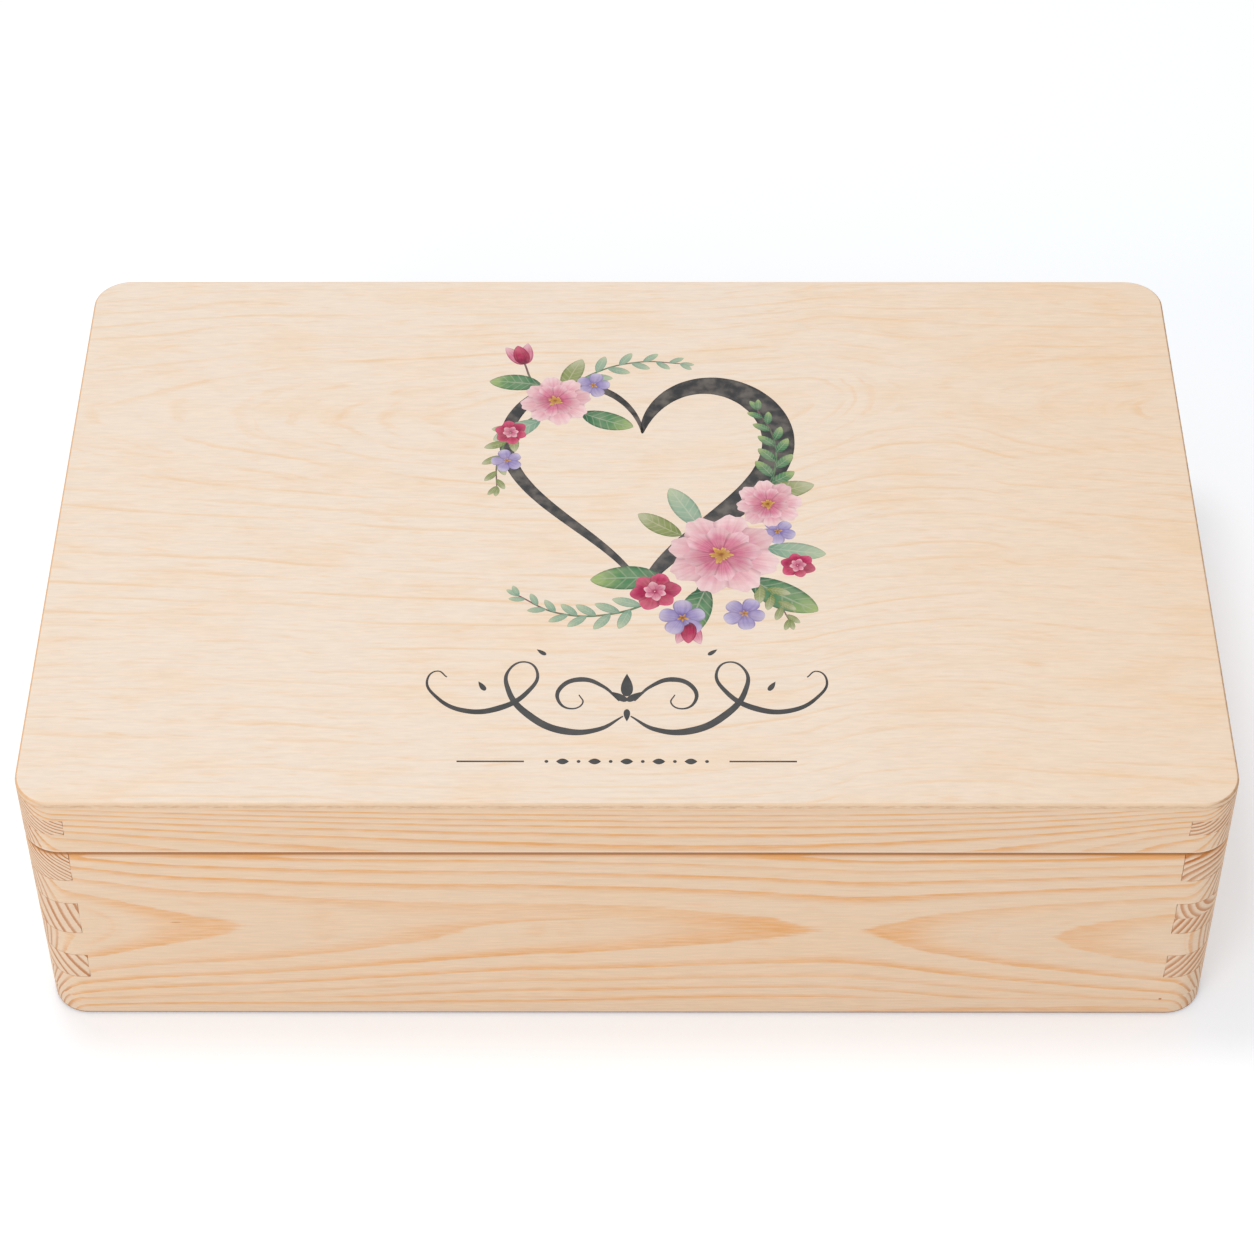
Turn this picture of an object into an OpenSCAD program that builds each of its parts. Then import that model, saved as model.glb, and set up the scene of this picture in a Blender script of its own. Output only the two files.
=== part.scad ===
// Keepsake box of finger-jointed pine boards, with a plywood lid panel and floor and two brass hinges.
// +Z is up, the front is at -Y, and the origin is the middle of the underside.

/* [Body] */
// Outside width, left to right
body_w = 380; // [340:5:420]
// Outside depth, front to back
body_d = 247; // [200:1:300]
// Height of the base, from the underside to the rim
base_h = 82; // [76:0.5:120]
// Height of the lid's frame, without its panel
lid_frame_h = 20.7; // [18:0.1:40]
// Thickness of the pine boards
board_t = 15; // [14:0.5:18]
// Radius of the upright corners
corner_r = 12.5; // [6:0.5:14]
// Gap between the rim and the closed lid
parting_gap = 0.3; // [0.2:0.05:0.5]

/* [Plywood] */
// Thickness of the lid panel
panel_t = 3; // [2.5:0.5:5]
// Thickness of the floor panel
floor_t = 3; // [2.5:0.5:5]
// How far the floor panel's rebate reaches into the boards
floor_bearing = 6; // [4:0.5:8]
// Radius of the rebate's corners, as the cutter leaves them
floor_corner_r = 8; // [5:0.5:12]
// Gap round the floor panel in its rebate
floor_fit = 0.2; // [0.1:0.05:0.4]

/* [Finger joints] */
// Height of the lowest finger of the base, on the front and back boards
foot_finger_h = 19.6; // [15:0.1:22]
// Height of the usual finger of the base
finger_h = 11.4; // [9:0.1:12.5]
// Height of the wide finger of the base, on the side boards
wide_finger_h = 15; // [12:0.1:18]
// Height of the lid's lowest finger, on the front and back boards
lid_low_finger_h = 8.7; // [7:0.1:9.5]
// Height of the lid's side finger
lid_side_finger_h = 6.6; // [5:0.1:8]

/* [Glued boards] */
// Height of the strip glued under the front board
front_strip_h = 8.6; // [6:0.1:14]
// Height of the strip glued under the left board
left_strip_h = 63; // [59:0.5:67]
// Height of the strip glued under the right board
right_strip_h = 50; // [45:0.5:55]

/* [Eased edges] */
// Rounding of the base's outer rim
rim_ease = 2.2; // [0.5:0.1:3]
// Rounding of the base's outer foot
foot_ease = 1; // [0.5:0.1:2]
// Rounding of the lid frame's lower outer edge
lid_ease = 0.8; // [0.5:0.1:2]
// Rounding of the lid panel's upper edge
panel_ease = 1; // [0.5:0.1:2]

/* [Hinges] */
// Distance from the box's end to the middle of a hinge
hinge_inset = 70; // [60:1:100]
// Length of a leaf
leaf_l = 40; // [34:1:50]
// Width of a leaf, from the pin's axis to its inner edge
leaf_w = 10.5; // [9.5:0.1:11]
// Thickness of a leaf
leaf_t = 1; // [0.8:0.1:1.2]
// Radius of a leaf's inner corners
leaf_corner_r = 1.5; // [0.5:0.1:2]
// Gap round a leaf in its recess
leaf_fit = 0.1; // [0.05:0.05:0.3]
// Number of knuckles on a hinge, an odd number
knuckles = 5; // [3:2:7]
// Outer radius of the knuckles
barrel_r = 2; // [1.8:0.05:2.3]
// How far the barrel lies inside the back face
barrel_flush = 0.5; // [0.2:0.1:1]
// Gap between neighbouring knuckles, and round them
knuckle_gap = 0.3; // [0.25:0.05:0.4]
// Radius of the pin
pin_r = 1; // [0.7:0.05:1.2]
// Radial clearance of the pin
pin_clearance = 0.05; // [0.02:0.01:0.1]
// Widest opening of the lid, in degrees
open_deg = 100; // [90:1:110]
// Gap left between the bevels at the widest opening
stop_gap = 0.2; // [0.1:0.05:0.4]

/* [Screws] */
// Distance between a leaf's two screws
screw_spacing = 24; // [20:1:26]
// Radius of a screw's head
screw_head_r = 2; // [1.6:0.1:2.2]
// Radius of a screw's shank
screw_shank_r = 1.1; // [0.8:0.1:1.3]
// Length of a screw under its head
screw_l = 9; // [6:0.5:12]
// Gap round a screw
screw_fit = 0.1; // [0.05:0.05:0.15]

/* [Hidden] */

pine = [0.91, 0.80, 0.67];
plywood = [0.95, 0.88, 0.80];
brass = [0.80, 0.65, 0.32];
steel = [0.82, 0.74, 0.50];

lid_z = base_h + parting_gap;
panel_z = lid_z + lid_frame_h;
pin_y = body_d / 2 - barrel_r - barrel_flush;
pin_z = base_h + parting_gap / 2;

// Heights at which one finger ends and the next begins. The lowest finger and every second one
// after it belong to the front and back boards, and the others to the side boards.
side_finger_z = foot_finger_h + finger_h;
wide_finger_z = side_finger_z + finger_h;
rim_finger_z = wide_finger_z + wide_finger_h + finger_h;
base_levels = [0, foot_finger_h, side_finger_z, wide_finger_z, wide_finger_z + wide_finger_h,
    rim_finger_z, base_h];
lid_side_z = lid_z + lid_low_finger_h;
lid_levels = [lid_z, lid_side_z, lid_side_z + lid_side_finger_h, panel_z];

hinge_x = body_w / 2 - hinge_inset;
knuckle_pitch = leaf_l / knuckles;
leaf_face = parting_gap / 2;
screw_y = -(barrel_r + leaf_w) / 2;
recess_d = 0.5;
recess_w = 0.5;
tip_l = 2;

// Quarter round from angle 0, lying outwards, to angle 90, lying upwards
ease_steps = 4;
function quarter(x, z, r, flip) = r == 0 ? [[x, z]] : [
    for (k = [0 : ease_steps])
        let (a = 90 * (flip < 0 ? k / ease_steps - 1 : k / ease_steps))
        [x + r * cos(a), z + r * sin(a)]
];

// Upright post of one corner, its lower and upper edges eased
module corner_post(low, high, ease_low, ease_high)
    rotate_extrude($fn = 48)
        polygon(concat(
            [[0, low]],
            quarter(corner_r - ease_low, low + ease_low, ease_low, -1),
            quarter(corner_r - ease_high, high - ease_high, ease_high, 1),
            [[0, high]]
        ));

// The outer form that the assembled boards are sanded to
module outer_form(low, high, ease_low, ease_high)
    hull()
        for (x = [-1, 1], y = [-1, 1])
            translate([x * (body_w / 2 - corner_r), y * (body_d / 2 - corner_r), 0])
                corner_post(low, high, ease_low, ease_high);

module base_form() outer_form(0, base_h, foot_ease, rim_ease);

module lid_form() outer_form(lid_z, panel_z, lid_ease, 0);

// Front or back board with its fingers, between two heights; side is -1 at the front and 1 at the back
module long_board(levels, side, low, high)
    for (i = [0 : len(levels) - 2]) {
        z0 = max(levels[i], low);
        z1 = min(levels[i + 1], high);
        half = body_w / 2 - (i % 2 == 0 ? 0 : board_t);
        if (z1 > z0)
            translate([-half, side * (body_d - board_t) / 2 - board_t / 2, z0])
                cube([2 * half, board_t, z1 - z0]);
    }

// Left or right board with its fingers, between two heights; side is -1 at the left and 1 at the right
module side_board(levels, side, low, high)
    for (i = [0 : len(levels) - 2]) {
        z0 = max(levels[i], low);
        z1 = min(levels[i + 1], high);
        half = body_d / 2 - (i % 2 == 1 ? 0 : board_t);
        if (z1 > z0)
            translate([side * (body_w - board_t) / 2 - board_t / 2, -half, z0])
                cube([board_t, 2 * half, z1 - z0]);
    }

module rounded_plan(w, d, r) {
    square([w - 2 * r, d], center = true);
    square([w, d - 2 * r], center = true);
    for (x = [-1, 1], y = [-1, 1])
        translate([x * (w / 2 - r), y * (d / 2 - r)])
            circle(r, $fn = 64);
}

// Floor panel, or the rebate for it where gap is 0 and it is cut a little lower than the foot
module floor_plate(gap, below)
    translate([0, 0, -below])
        linear_extrude(floor_t + below)
            rounded_plan(
                body_w - 2 * (board_t - floor_bearing) - 2 * gap,
                body_d - 2 * (board_t - floor_bearing) - 2 * gap,
                floor_corner_r - gap
            );

module floor_rebate() floor_plate(0, 1);

// Everything below is drawn at the hinge pin's axis, with the base's half of the hinge at -Z
module at_hinge(side)
    translate([side * hinge_x, pin_y, pin_z])
        children();

module at_lid_hinge(side)
    at_hinge(side)
        mirror([0, 0, 1])
            children();

module along_pin(r, from, to)
    translate([from, 0, 0])
        rotate([0, 90, 0])
            cylinder(r = r, h = to - from, $fn = 64);

function knuckle_from(i) = -leaf_l / 2 + i * knuckle_pitch + (i == 0 ? 0 : knuckle_gap / 2);
function knuckle_to(i) = -leaf_l / 2 + (i + 1) * knuckle_pitch - (i == knuckles - 1 ? 0 : knuckle_gap / 2);

module leaf_outline(gap) {
    r = leaf_corner_r + gap;
    half = leaf_l / 2 + gap;
    translate([-half, -leaf_w - gap + r])
        square([2 * half, leaf_w + gap - r]);
    translate([-half + r, -leaf_w - gap])
        square([2 * (half - r), r]);
    for (x = [-1, 1])
        translate([x * (half - r), -leaf_w - gap + r])
            circle(r, $fn = 48);
}

module at_screws()
    for (x = [-1, 1])
        translate([x * screw_spacing / 2, screw_y, -leaf_face])
            children();

// Room in a leaf for the other leaf's knuckle
module knuckle_room(i)
    along_pin(
        barrel_r + knuckle_gap,
        knuckle_from(i) - knuckle_gap,
        knuckle_to(i) + knuckle_gap
    );

module screw_seat()
    translate([0, 0, -leaf_t])
        cylinder(
            r1 = screw_shank_r + screw_fit,
            r2 = screw_head_r + screw_fit,
            h = leaf_t,
            $fn = 48
        );

// Leaf with every second knuckle, starting with the knuckle numbered first
module leaf(first)
    difference() {
        union() {
            difference() {
                translate([0, 0, -leaf_face - leaf_t])
                    linear_extrude(leaf_t)
                        leaf_outline(0);
                for (i = [1 - first : 2 : knuckles - 1])
                    knuckle_room(i);
            }
            for (i = [first : 2 : knuckles - 1])
                along_pin(barrel_r, knuckle_from(i), knuckle_to(i));
        }
        along_pin(pin_r + pin_clearance, -leaf_l, leaf_l);
        at_screws()
            screw_seat();
    }

module pin()
    along_pin(pin_r, -leaf_l / 2, leaf_l / 2);

// Countersunk screws of one leaf, with a cross recess in each head
module screws()
    at_screws()
        difference() {
            union() {
                translate([0, 0, -leaf_t])
                    cylinder(r1 = screw_shank_r, r2 = screw_head_r, h = leaf_t - screw_fit, $fn = 48);
                translate([0, 0, tip_l - leaf_t - screw_l])
                    cylinder(r = screw_shank_r, h = screw_l - tip_l, $fn = 48);
                translate([0, 0, -leaf_t - screw_l])
                    cylinder(r1 = screw_shank_r / 4, r2 = screw_shank_r, h = tip_l, $fn = 48);
            }
            for (turn = [0, 90])
                rotate(turn)
                    translate([-screw_shank_r, -recess_w / 2, -recess_d - screw_fit])
                        cube([2 * screw_shank_r, recess_w, recess_d + 1]);
        }

// What is cut out of a back board for one hinge
module hinge_recess() {
    along_pin(barrel_r + knuckle_gap, -leaf_l / 2 - knuckle_gap, leaf_l / 2 + knuckle_gap);
    translate([0, 0, -leaf_face - leaf_t])
        linear_extrude(leaf_t + leaf_face)
            leaf_outline(leaf_fit);
    at_screws()
        translate([0, 0, -leaf_t - screw_l - screw_fit])
            cylinder(r = screw_shank_r + screw_fit, h = screw_l + leaf_t, $fn = 48);
}

// Bevel of a back board's outer edge, which stops the lid against the base at its widest opening
module stop_bevel() {
    angle = open_deg / 2;
    reach = 4 * (barrel_r + barrel_flush);
    start = -stop_gap / 2 / sin(angle);
    translate([-body_w, pin_y, pin_z])
        rotate([90, 0, 90])
            linear_extrude(2 * body_w)
                polygon([
                    [start, 0],
                    [start + reach * cos(angle), -reach * sin(angle)],
                    [start + reach, 1],
                    [start, 1]
                ]);
}

module base_front()
    color(pine)
        difference() {
            intersection() {
                long_board(base_levels, -1, front_strip_h, base_h);
                base_form();
            }
            floor_rebate();
        }

module base_front_strip()
    color(pine)
        difference() {
            intersection() {
                long_board(base_levels, -1, 0, front_strip_h);
                base_form();
            }
            floor_rebate();
        }

module base_back()
    color(pine)
        difference() {
            intersection() {
                long_board(base_levels, 1, 0, base_h);
                base_form();
            }
            floor_rebate();
            stop_bevel();
            for (side = [-1, 1])
                at_hinge(side)
                    hinge_recess();
        }

module base_left()
    color(pine)
        difference() {
            intersection() {
                side_board(base_levels, -1, left_strip_h, base_h);
                base_form();
            }
            stop_bevel();
        }

module base_left_strip()
    color(pine)
        difference() {
            intersection() {
                side_board(base_levels, -1, 0, left_strip_h);
                base_form();
            }
            floor_rebate();
        }

module base_right()
    color(pine)
        difference() {
            intersection() {
                side_board(base_levels, 1, right_strip_h, base_h);
                base_form();
            }
            stop_bevel();
        }

module base_right_strip()
    color(pine)
        difference() {
            intersection() {
                side_board(base_levels, 1, 0, right_strip_h);
                base_form();
            }
            floor_rebate();
        }

module base_floor()
    color(plywood)
        floor_plate(floor_fit, 0);

module lid_front()
    color(pine)
        intersection() {
            long_board(lid_levels, -1, lid_z, panel_z);
            lid_form();
        }

module lid_back()
    color(pine)
        difference() {
            intersection() {
                long_board(lid_levels, 1, lid_z, panel_z);
                lid_form();
            }
            translate([0, 0, 2 * pin_z])
                mirror([0, 0, 1])
                    stop_bevel();
            for (side = [-1, 1])
                at_lid_hinge(side)
                    hinge_recess();
        }

module lid_left()
    color(pine)
        intersection() {
            side_board(lid_levels, -1, lid_z, panel_z);
            lid_form();
        }

module lid_right()
    color(pine)
        intersection() {
            side_board(lid_levels, 1, lid_z, panel_z);
            lid_form();
        }

module lid_panel()
    color(plywood)
        outer_form(panel_z, panel_z + panel_t, 0, panel_ease);

module hinge_base_leaf(side)
    color(brass)
        at_hinge(side)
            leaf(0);

module hinge_lid_leaf(side)
    color(brass)
        at_lid_hinge(side)
            leaf(1);

module hinge_pin(side)
    color(brass)
        at_hinge(side)
            pin();

module hinge_base_screws(side)
    color(steel)
        at_hinge(side)
            screws();

module hinge_lid_screws(side)
    color(steel)
        at_lid_hinge(side)
            screws();

base_front();
base_front_strip();
base_back();
base_left();
base_left_strip();
base_right();
base_right_strip();
base_floor();
lid_front();
lid_back();
lid_left();
lid_right();
lid_panel();
hinge_base_leaf(-1);  // hinge_base_leaf_left
hinge_base_leaf(1);  // hinge_base_leaf_right
hinge_lid_leaf(-1);  // hinge_lid_leaf_left
hinge_lid_leaf(1);  // hinge_lid_leaf_right
hinge_pin(-1);  // hinge_pin_left
hinge_pin(1);  // hinge_pin_right
hinge_base_screws(-1);  // hinge_base_screws_left
hinge_base_screws(1);  // hinge_base_screws_right
hinge_lid_screws(-1);  // hinge_lid_screws_left
hinge_lid_screws(1);  // hinge_lid_screws_right
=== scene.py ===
import math

import bmesh
import bpy
from mathutils import Matrix, Vector


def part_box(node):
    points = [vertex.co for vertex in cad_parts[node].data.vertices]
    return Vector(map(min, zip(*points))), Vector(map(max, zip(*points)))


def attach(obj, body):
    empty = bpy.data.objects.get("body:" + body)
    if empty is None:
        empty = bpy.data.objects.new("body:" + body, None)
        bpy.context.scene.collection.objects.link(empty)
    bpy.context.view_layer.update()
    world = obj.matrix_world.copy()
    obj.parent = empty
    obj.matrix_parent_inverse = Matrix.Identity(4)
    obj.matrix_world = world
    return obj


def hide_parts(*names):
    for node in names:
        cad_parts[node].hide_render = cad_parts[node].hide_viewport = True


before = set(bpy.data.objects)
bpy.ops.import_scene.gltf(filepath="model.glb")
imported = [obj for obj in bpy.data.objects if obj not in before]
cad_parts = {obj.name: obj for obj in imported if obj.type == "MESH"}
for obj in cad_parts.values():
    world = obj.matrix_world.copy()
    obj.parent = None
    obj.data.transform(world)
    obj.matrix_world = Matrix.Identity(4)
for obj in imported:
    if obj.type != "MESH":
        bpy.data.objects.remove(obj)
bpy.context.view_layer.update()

# Pine boards of the base and of the lid's frame, with fingers cut in their ends and glued.
# Each is sawn from its own log, so its growth rings run round a heart line of its own and show as
# long lines on the faces and as dark arcs on the finger ends. The corners are sanded round.
MM = 0.001
MERGE_GAP = 0.002 * MM
FLAT_ANGLE = math.radians(0.5)
SHARP_ANGLE = math.radians(32)
CREASE_ANGLE = math.radians(40)
LEVEL_LINE = 0.08 * MM
SHOULDER_LINE = 0.25 * MM
BOARD_T = 15
WOOD_SHEEN = 0.25
GRAIN_STEP = (37.0, 11.0, 23.0)
LINE_STRENGTH = {"base": 0.9, "lid": 1.15}
UNDER_RIM = (76, 79)
HINGE_SIDE = (106, 112)
# Heights in millimetres of the band of painted contact shadow at the bottom edge.
FOOT_SHADOW_BAND = (0.8, 1.4)
# Heights in millimetres of the painted highlight along the lid's lower edge.
LIP_HIGHLIGHT_BAND = (83.0, 83.9)


def feed(socket, value):
    """Sets a node's input, or links it where the value is another node's output"""
    if isinstance(value, bpy.types.NodeSocket):
        socket.id_data.links.new(value, socket)
    else:
        socket.default_value = value


def new_node(kind, *values):
    """Adds a node to the tree that these values come from"""
    tree = next(value.id_data for value in values if isinstance(value, bpy.types.NodeSocket))
    return tree.nodes.new(kind)


def sum_of(operation, *values):
    """One Math node"""
    made = new_node("ShaderNodeMath", *values)
    made.operation = operation
    for socket, value in zip(made.inputs, values):
        feed(socket, value)
    return made.outputs[0]


def times(first, *others):
    for other in others:
        first = sum_of("MULTIPLY", first, other)
    return first


def plus(first, second):
    return sum_of("ADD", first, second)


def minus(first, second):
    return sum_of("SUBTRACT", first, second)


def share_of(value, whole):
    return sum_of("DIVIDE", value, whole)


def scaled(value, factor, shift):
    """Value times factor, plus shift"""
    return sum_of("MULTIPLY_ADD", value, factor, shift)


def larger_of(first, second):
    return sum_of("MAXIMUM", first, second)


def unsigned(value):
    return sum_of("ABSOLUTE", value)


def vector_of(operation, *values):
    """One Vector Math node; a length comes out as a number"""
    made = new_node("ShaderNodeVectorMath", *values)
    made.operation = operation
    for socket, value in zip(made.inputs, values):
        feed(socket, value)
    return made.outputs["Value" if operation == "LENGTH" else "Vector"]


def parted(vector):
    made = new_node("ShaderNodeSeparateXYZ", vector)
    feed(made.inputs[0], vector)
    return made.outputs


def joined_vector(x=0.0, y=0.0, z=0.0):
    made = new_node("ShaderNodeCombineXYZ", x, y, z)
    for socket, value in zip(made.inputs, (x, y, z)):
        feed(socket, value)
    return made.outputs[0]


def stretched_noise(place, cell_mm, detail=2.0):
    """Noise from 0 to 1 whose cells have these sizes along the three axes"""
    made = new_node("ShaderNodeTexNoise", place)
    feed(made.inputs["Vector"], vector_of("MULTIPLY", place, [1 / size for size in cell_mm]))
    feed(made.inputs["Scale"], 1.0)
    feed(made.inputs["Detail"], detail)
    return made.outputs["Fac"]


def swing(noise, amount):
    """Noise turned into a shift of up to about half the amount either way"""
    return scaled(noise, amount, -amount / 2)


def rise(value, low, high, bottom=0.0, top=1.0):
    """Smooth step between two values"""
    made = new_node("ShaderNodeMapRange", value)
    made.interpolation_type = "SMOOTHSTEP"
    feed(made.inputs["Value"], value)
    numbers = {"From Min": low, "From Max": high, "To Min": bottom, "To Max": top}
    for name, number in numbers.items():
        feed(made.inputs[name], number)
    return made.outputs["Result"]


def fall(value, low, high, top=1.0):
    """Smooth step down to nothing"""
    return rise(value, low, high, top, 0.0)


def between(value, starts, full, fades, ends):
    """Rises smoothly from 0 to 1, then falls back to 0"""
    return times(rise(value, starts, full), fall(value, fades, ends))


def rise_straight(value, low, high):
    """Value as a share of the way from low to high"""
    return share_of(minus(value, low), high - low)


def blend_colour(factor, first, second, kind="MIX"):
    made = new_node("ShaderNodeMix", factor, first)
    made.data_type = "RGBA"
    made.blend_type = kind
    feed(made.inputs["Factor"], factor)
    feed(made.inputs["A"], (*first, 1) if isinstance(first, tuple) else first)
    feed(made.inputs["B"], (*second, 1) if isinstance(second, tuple) else second)
    return made.outputs["Result"]


def shaded(colour, shade):
    """A colour made darker or lighter by a number near 1"""
    grey = new_node("ShaderNodeCombineColor", shade)
    for socket in grey.inputs:
        feed(socket, shade)
    return blend_colour(1.0, colour, grey.outputs[0], "MULTIPLY")


def curve_through(along, spots, column):
    """A smooth curve through one column of the spots, read at a place along them"""
    begin, end = spots[0][0], spots[-1][0]
    results = [spot[column] for spot in spots]
    low, high = min(results) - 1, max(results) + 1
    made = new_node("ShaderNodeFloatCurve", along)
    feed(made.inputs["Value"], rise_straight(along, begin, end))
    line = made.mapping.curves[0]
    placed = [((spot[0] - begin) / (end - begin), (spot[column] - low) / (high - low))
              for spot in spots]
    line.points[0].location, line.points[-1].location = placed[0], placed[-1]
    for spot in placed[1:-1]:
        line.points.new(*spot)
    made.mapping.update()
    return scaled(made.outputs["Value"], high - low, low)


def yearly(year, seed):
    """How much of a year's growth is reached, from 0 to 1, and a random number for that year"""
    made = new_node("ShaderNodeTexWhiteNoise", year)
    made.noise_dimensions = "1D"
    feed(made.inputs["W"], plus(sum_of("FLOOR", year), seed))
    return sum_of("FRACT", year), made.outputs["Value"]


def new_material(name):
    made = bpy.data.materials.new(name)
    made.use_nodes = True
    tree = made.node_tree
    tree.nodes.clear()
    shader = tree.nodes.new("ShaderNodeBsdfPrincipled")
    output = tree.nodes.new("ShaderNodeOutputMaterial")
    tree.links.new(shader.outputs[0], output.inputs["Surface"])
    return made, tree, shader


def surface(shader, colour, roughness, sheen=WOOD_SHEEN):
    feed(shader.inputs["Base Color"], colour)
    feed(shader.inputs["Roughness"], roughness)
    feed(shader.inputs["Specular IOR Level"], sheen)


def fine_relief(shader, height, strength, depth_mm):
    """Lets the light catch pores and scratches that are too fine to model"""
    bump = new_node("ShaderNodeBump", height)
    feed(bump.inputs["Height"], height)
    feed(bump.inputs["Strength"], strength)
    feed(bump.inputs["Distance"], depth_mm * MM)
    feed(shader.inputs["Normal"], bump.outputs[0])


def srgb(*parts):
    """Colour written in 0 to 255, as a renderer's linear numbers"""
    shares = (part / 255 for part in parts)
    return tuple(part / 12.92 if part <= 0.04045 else ((part + 0.055) / 1.055) ** 2.4
                 for part in shares)


EARLY_WARM = srgb(241, 209, 175)
EARLY_PALE = srgb(240, 215, 191)
LATE_FACE = srgb(238, 178, 119)
LATE_END = srgb(190, 116, 54)
EARLY_END = srgb(238, 211, 184)
JOINT_LINE = srgb(132, 82, 46)
# The next four colours are painted light and shade: a shadow under the lid, a contact shadow at the
# bottom edge, shade on the rim's rounding, and a highlight on the lid's lower edge.
SEAM_SHADOW_BROWN = srgb(174, 114, 56)
FOOT_SHADOW_BROWN = srgb(150, 108, 74)
RIM_SHADE_TAN = srgb(224, 158, 100)
LIP_HIGHLIGHT_CREAM = srgb(246, 226, 206)


def grain_place(tree, runs_along_y=False):
    """Object place in millimetres and facing, both turned so that X runs along the board"""
    source = tree.nodes.new("ShaderNodeTexCoord")
    place = vector_of("SCALE", source.outputs["Object"])
    feed(place.node.inputs["Scale"], 1 / MM)
    found = (place, source.outputs["Normal"])
    if not runs_along_y:
        return found
    apart = [parted(vector) for vector in found]
    return [joined_vector(y, x, z) for x, y, z in apart]


def pine(name, body, runs_along_y, heart, ring, edge, seed, wander=0.6, uneven=0.9,
         late_from=0.5, lost_ring=None, flecks=()):
    """Pine sawn from a log; heart lists (place along the board, across, height) of its middle.
    ring is a year's growth, and edge the radius at which one year's growth ends. late_from is the
    share of a year after which the cut ends darken. A lost_ring runs out between two places along
    the board, at a height. flecks lists small dark marks, each by its place, half its length, half
    its width and its strength. On the base, painted shade darkens the rim's outer rounding under
    the lid, and a painted contact shadow darkens the bottom edge. The lid's lower edge has a
    painted highlight."""
    made, tree, shader = new_material(name)
    place, normal = grain_place(tree, runs_along_y)
    along, across, height = parted(place)
    endways, _, upward = parted(normal)
    shifted = vector_of("ADD", place, [seed * step for step in GRAIN_STEP])

    aside = minus(across, curve_through(along, heart, 1))
    above = minus(height, curve_through(along, heart, 2))
    radius = vector_of("LENGTH", joined_vector(aside, above))
    slow = swing(stretched_noise(shifted, (110, 26, 26)), 2 * wander)
    ripple = swing(stretched_noise(shifted, (30, 5, 5)), 0.35 * wander)
    feather = swing(stretched_noise(shifted, (16, 0.8, 0.8), 4.0), 0.17 * ring)
    radius = plus(plus(radius, slow), plus(ripple, feather))
    pace = tree.nodes.new("ShaderNodeTexNoise")
    pace.noise_dimensions = "1D"
    feed(pace.inputs["W"], scaled(radius, 0.45 / ring, seed * 5.0))
    feed(pace.inputs["Scale"], 1.0)
    radius = plus(radius, swing(pace.outputs["Fac"], uneven * ring))
    if lost_ring:
        begins, ends, level, depth = lost_ring
        thinnest = 0.1
        lean = scaled(rise_straight(along, begins, ends), thinnest - depth, depth)
        lower = minus(level, larger_of(lean, thinnest))
        added = times(rise(along, begins, ends), fall(height, lower, level))
        radius = scaled(added, ring, radius)

    share, luck = yearly(share_of(minus(radius, edge), ring), seed)
    late = between(share, 0.46, 0.94, 0.95, 1.0)
    cut_line = between(share, late_from, 0.78, 0.92, 1.0)
    patchy = rise(stretched_noise(shifted, (70, 9, 9)), 0.25, 0.7, 0.75, 1.15)
    strength = times(scaled(luck, 0.42, 0.48), patchy, LINE_STRENGTH[body])
    if body == "base":
        strength = times(strength, rise(height, *UNDER_RIM, 1.0, 2.0))
    layer = joined_vector(along, radius, seed * 3.0)
    thread = rise(stretched_noise(layer, (18, 0.2 * ring, 1.0), 3.0), 0.52, 0.8, 0.0, 0.3)

    early = blend_colour(stretched_noise(shifted, (60, 14, 14)), EARLY_WARM, EARLY_PALE)
    fibre = stretched_noise(shifted, (9, 0.9, 0.9), 3.0)
    resin = times(late, strength, rise(fibre, 0.3, 0.7, 0.72, 1.25))
    on_face = blend_colour(larger_of(resin, thread), early, LATE_FACE)
    cut_line = times(cut_line, scaled(strength, 0.5, 0.45))
    on_end = blend_colour(cut_line, EARLY_END, LATE_END)
    end_grain = rise(unsigned(endways), 0.2, 0.8)
    colour = blend_colour(end_grain, on_face, on_end)
    streak = stretched_noise(shifted, (8, 0.6, 0.6), 4.0)
    shade = times(rise(streak, 0.25, 0.75, 0.95, 1.03), rise(fibre, 0.25, 0.75, 1.01, 0.98))
    colour = shaded(colour, shade)
    if body == "base":
        backward = along if runs_along_y else across
        at_rim = times(fall(backward, *HINGE_SIDE), fall(upward, 0.9, 0.97))
        # Painted shade: the rim's outer rounding, except on the hinge side, is tinted a darker tan.
        rim_shade = times(rise(upward, 0.1, 0.4, 0.0, 0.4), at_rim)
        colour = blend_colour(rim_shade, colour, RIM_SHADE_TAN)
        # Painted shade: a brown line higher up the rounding stands in for the shadow in the gap
        # under the lid.
        seam_shadow = times(rise(upward, 0.46, 0.68, 0.0, 0.8), at_rim)
        colour = blend_colour(seam_shadow, colour, SEAM_SHADOW_BROWN)
        # Painted contact shadow: the lowest 1.4 mm and the bottom rounding turn brown, but not the
        # face that stands on the floor.
        foot_shadow = larger_of(fall(upward, -0.5, -0.1, 0.7), fall(height, *FOOT_SHADOW_BAND, 0.8))
        foot_shadow = times(foot_shadow, rise(upward, -0.99, -0.9))
        colour = blend_colour(foot_shadow, colour, FOOT_SHADOW_BROWN)
    else:
        # Painted highlight: the lid's lower edge is paled to cream, as if it caught the light.
        colour = blend_colour(fall(height, *LIP_HIGHLIGHT_BAND, 0.65), colour, LIP_HIGHLIGHT_CREAM)
    for x, y, z, length, width, dark in flecks:
        away = vector_of("SUBTRACT", place, (x, y, z))
        away = vector_of("LENGTH", vector_of("DIVIDE", away, (length, width, width)))
        colour = blend_colour(fall(away, 0.36, 1.0, dark), colour, LATE_END)
    surface(shader, colour, rise(streak, 0.2, 0.8, 0.58, 0.72))
    fine_relief(shader, scaled(late, 0.12, streak), 0.25, 0.03)
    return made


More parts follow.
